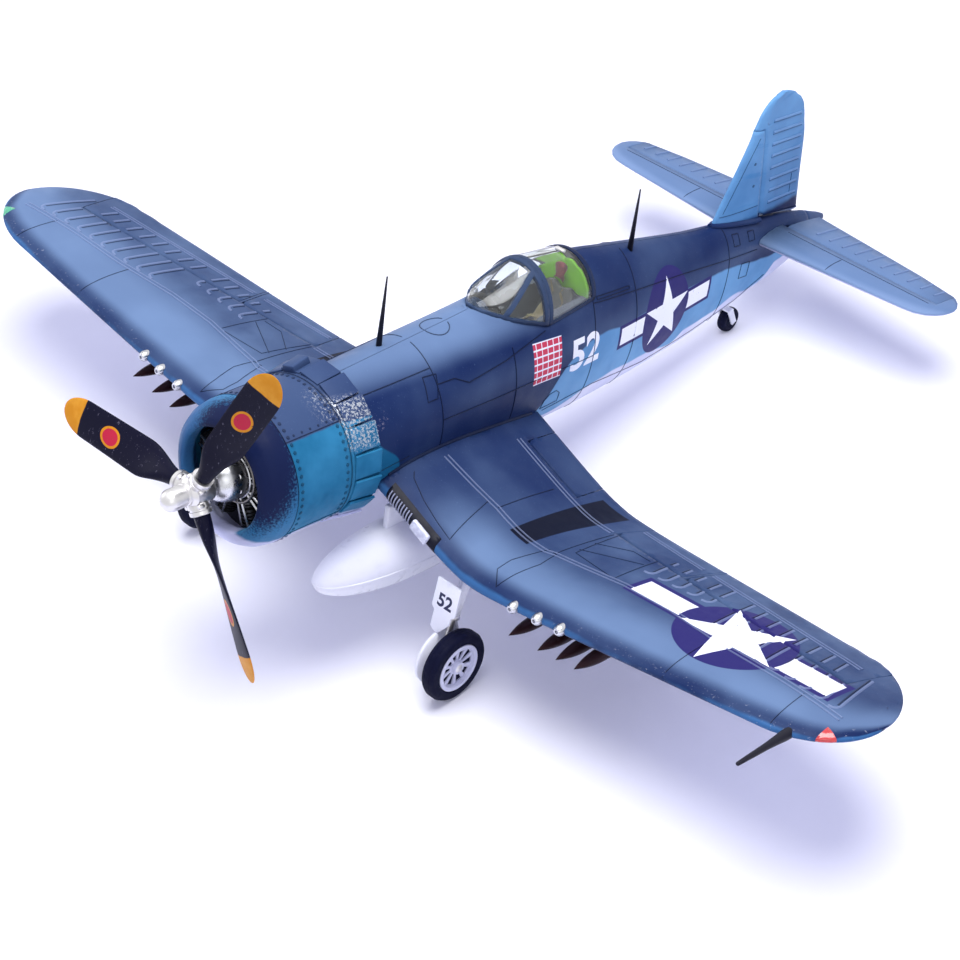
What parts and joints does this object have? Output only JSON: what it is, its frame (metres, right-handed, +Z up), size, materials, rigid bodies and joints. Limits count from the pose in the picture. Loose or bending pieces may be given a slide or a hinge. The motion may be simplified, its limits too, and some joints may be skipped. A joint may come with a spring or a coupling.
{
  "type": "rc warbird plane",
  "caption": "Radio-controlled gull-winged navy fighter model on a tail-wheel undercarriage, with a radial cowl, moving control surfaces, sliding canopy and drop tank.",
  "frame": {"origin": "on the ground under the middle of the model's box", "axes": "+X to the model's left wing tip, -Y to the nose, +Z up; the model stands tail-down on its three wheels"},
  "size_m": [0.6972, 0.574, 0.2403],
  "materials": {
    "sea_blue": "satin paint",
    "sky_blue": "satin paint",
    "white": "satin paint",
    "black": "satin",
    "rubber": "matt",
    "chrome": "polished",
    "engine_grey": "satin",
    "clear": "clear",
    "green": "matt paint",
    "khaki": "woven",
    "maroon": "satin paint",
    "equipment": "matt",
    "wood": "plain"
  },
  "bodies": {
    "airframe": {"armour_plate": "green", "battery": "equipment", "cockpit_tub": "engine_grey", "control_board": "green", "cowl": "sea_blue", "cowl_flaps": "sea_blue", "drop_tank": "white", "dummy_engine": "engine_grey", "firewall": "wood", "front_antenna_mast": "black", "fuselage_left_shell": "sea_blue", "fuselage_right_shell": "sea_blue", "headrest_pad": "maroon", "instrument_panel": "black", "left_aileron_servo": "equipment", "left_gear_door": "white", "left_gear_leg": "white", "left_rocket_rack": "maroon", "left_stabilizer": "sea_blue", "left_wing": "sea_blue", "motor_stator": "equipment", "pilot_seat": "engine_grey", "pitot_tube": "black", "rear_antenna_mast": "black", "right_aileron_servo": "equipment", "right_gear_door": "white", "right_gear_leg": "white", "right_rocket_rack": "maroon", "right_stabilizer": "sea_blue", "right_wing": "sea_blue", "seat_cushion": "khaki", "tail_cone": "sea_blue", "tail_servos": "equipment", "tailplane_spar": "black", "vertical_fin": "sky_blue", "windscreen": "clear", "wing_joiner": "wood"},
    "propeller": {"prop_hub": "chrome", "prop_blade_1": "black", "prop_blade_2": "black", "prop_blade_3": "black", "motor_rotor": "chrome"},
    "left_aileron": {"left_aileron": "sea_blue"},
    "right_aileron": {"right_aileron": "sea_blue"},
    "left_inner_flap": {"left_inner_flap": "sea_blue"},
    "left_outer_flap": {"left_outer_flap": "sea_blue"},
    "right_inner_flap": {"right_inner_flap": "sea_blue"},
    "right_outer_flap": {"right_outer_flap": "sea_blue"},
    "elevator": {"elevator": "sky_blue"},
    "rudder": {"rudder": "sky_blue"},
    "elevator_pushrod": {"elevator_pushrod": "chrome"},
    "rudder_pushrod": {"rudder_pushrod": "chrome"},
    "canopy": {"sliding_canopy": "clear"},
    "belly_hatch": {"belly_hatch": "white"},
    "left_wheel": {"left_tyre": "rubber", "left_wheel_hub": "white"},
    "right_wheel": {"right_tyre": "rubber", "right_wheel_hub": "white"},
    "tail_fork": {"tail_wheel_fork": "white"},
    "tail_wheel": {"tail_wheel": "rubber"}
  },
  "joints": [
    {"name": "propeller_spin", "type": "hinge", "parent": "airframe", "child": "propeller", "pos_m": [0, -0.28598, 0.14871], "axis": [0, -0.9811, 0.1937], "continuous": true},
    {"name": "left_aileron_turn", "type": "hinge", "parent": "airframe", "child": "left_aileron", "pos_m": [0.1875, -0.0711, 0.06564], "axis": [0.9711, -0.1636, 0.1738], "range_deg": [-20, 20]},
    {"name": "right_aileron_turn", "type": "hinge", "parent": "airframe", "child": "right_aileron", "pos_m": [-0.314, -0.09242, 0.08828], "axis": [0.9711, 0.1636, -0.1738], "range_deg": [-20, 20]},
    {"name": "left_outer_flap_turn", "type": "hinge", "parent": "airframe", "child": "left_outer_flap", "pos_m": [0.128, -0.06096, 0.05556], "axis": [-0.9724, 0.1658, -0.1643], "range_deg": [0, 40]},
    {"name": "left_inner_flap_turn", "type": "hinge", "parent": "airframe", "child": "left_inner_flap", "pos_m": [0.046, -0.0511, 0.07348], "axis": [-0.9314, 0.0705, 0.3571], "range_deg": [0, 40]},
    {"name": "right_outer_flap_turn", "type": "hinge", "parent": "airframe", "child": "right_outer_flap", "pos_m": [-0.185, -0.07068, 0.06519], "axis": [-0.9724, -0.1658, 0.1643], "range_deg": [0, 40]},
    {"name": "right_inner_flap_turn", "type": "hinge", "parent": "airframe", "child": "right_inner_flap", "pos_m": [-0.088, -0.05428, 0.05738], "axis": [-0.9314, -0.0705, -0.3571], "range_deg": [0, 40]},
    {"name": "elevator_turn", "type": "hinge", "parent": "airframe", "child": "elevator", "pos_m": [0, 0.23806, 0.06157], "axis": [1, 0, 0], "range_deg": [-20, 22]},
    {"name": "rudder_turn", "type": "hinge", "parent": "airframe", "child": "rudder", "pos_m": [0, 0.21487, 0.0845], "axis": [0, 0.0521, 0.9986], "range_deg": [-25, 25]},
    {"name": "elevator_pushrod_slide", "type": "slide", "parent": "airframe", "child": "elevator_pushrod", "axis": [0, 0.9823, -0.1873], "range_m": [-0.002, 0.002]},
    {"name": "rudder_pushrod_slide", "type": "slide", "parent": "airframe", "child": "rudder_pushrod", "axis": [0, 0.9837, -0.1796], "range_m": [-0.0025, 0.0025]},
    {"name": "canopy_slide", "type": "slide", "parent": "airframe", "child": "canopy", "axis": [0, 0.9959, -0.0905], "range_m": [0, 0.04]},
    {"name": "belly_hatch_turn", "type": "hinge", "parent": "airframe", "child": "belly_hatch", "pos_m": [0, -0.11187, 0.07029], "axis": [-1, 0, 0], "range_deg": [0, 60]},
    {"name": "left_wheel_spin", "type": "hinge", "parent": "airframe", "child": "left_wheel", "pos_m": [0.1045, -0.17543, 0.022], "axis": [1, 0, 0], "continuous": true},
    {"name": "right_wheel_spin", "type": "hinge", "parent": "airframe", "child": "right_wheel", "pos_m": [-0.1045, -0.17543, 0.022], "axis": [1, 0, 0], "continuous": true},
    {"name": "tail_wheel_steer", "type": "hinge", "parent": "airframe", "child": "tail_fork", "pos_m": [0, 0.18868, 0.02827], "axis": [0, 0.1937, 0.9811], "range_deg": [-25, 25]},
    {"name": "tail_wheel_spin", "type": "hinge", "parent": "tail_fork", "child": "tail_wheel", "pos_m": [0, 0.19093, 0.0087], "axis": [1, 0, 0], "continuous": true}
  ],
  "couplings": [
    {"joint": "right_aileron_turn", "follows": "left_aileron_turn", "ratio": -1},
    {"joint": "left_inner_flap_turn", "follows": "left_outer_flap_turn", "ratio": 1},
    {"joint": "right_outer_flap_turn", "follows": "left_outer_flap_turn", "ratio": 1},
    {"joint": "right_inner_flap_turn", "follows": "left_outer_flap_turn", "ratio": 1},
    {"joint": "elevator_pushrod_slide", "follows": "elevator_turn", "m_per_rad": -0.00336},
    {"joint": "rudder_pushrod_slide", "follows": "rudder_turn", "m_per_rad": -0.0042},
    {"joint": "tail_wheel_steer", "follows": "rudder_turn", "ratio": 1}
  ]
}
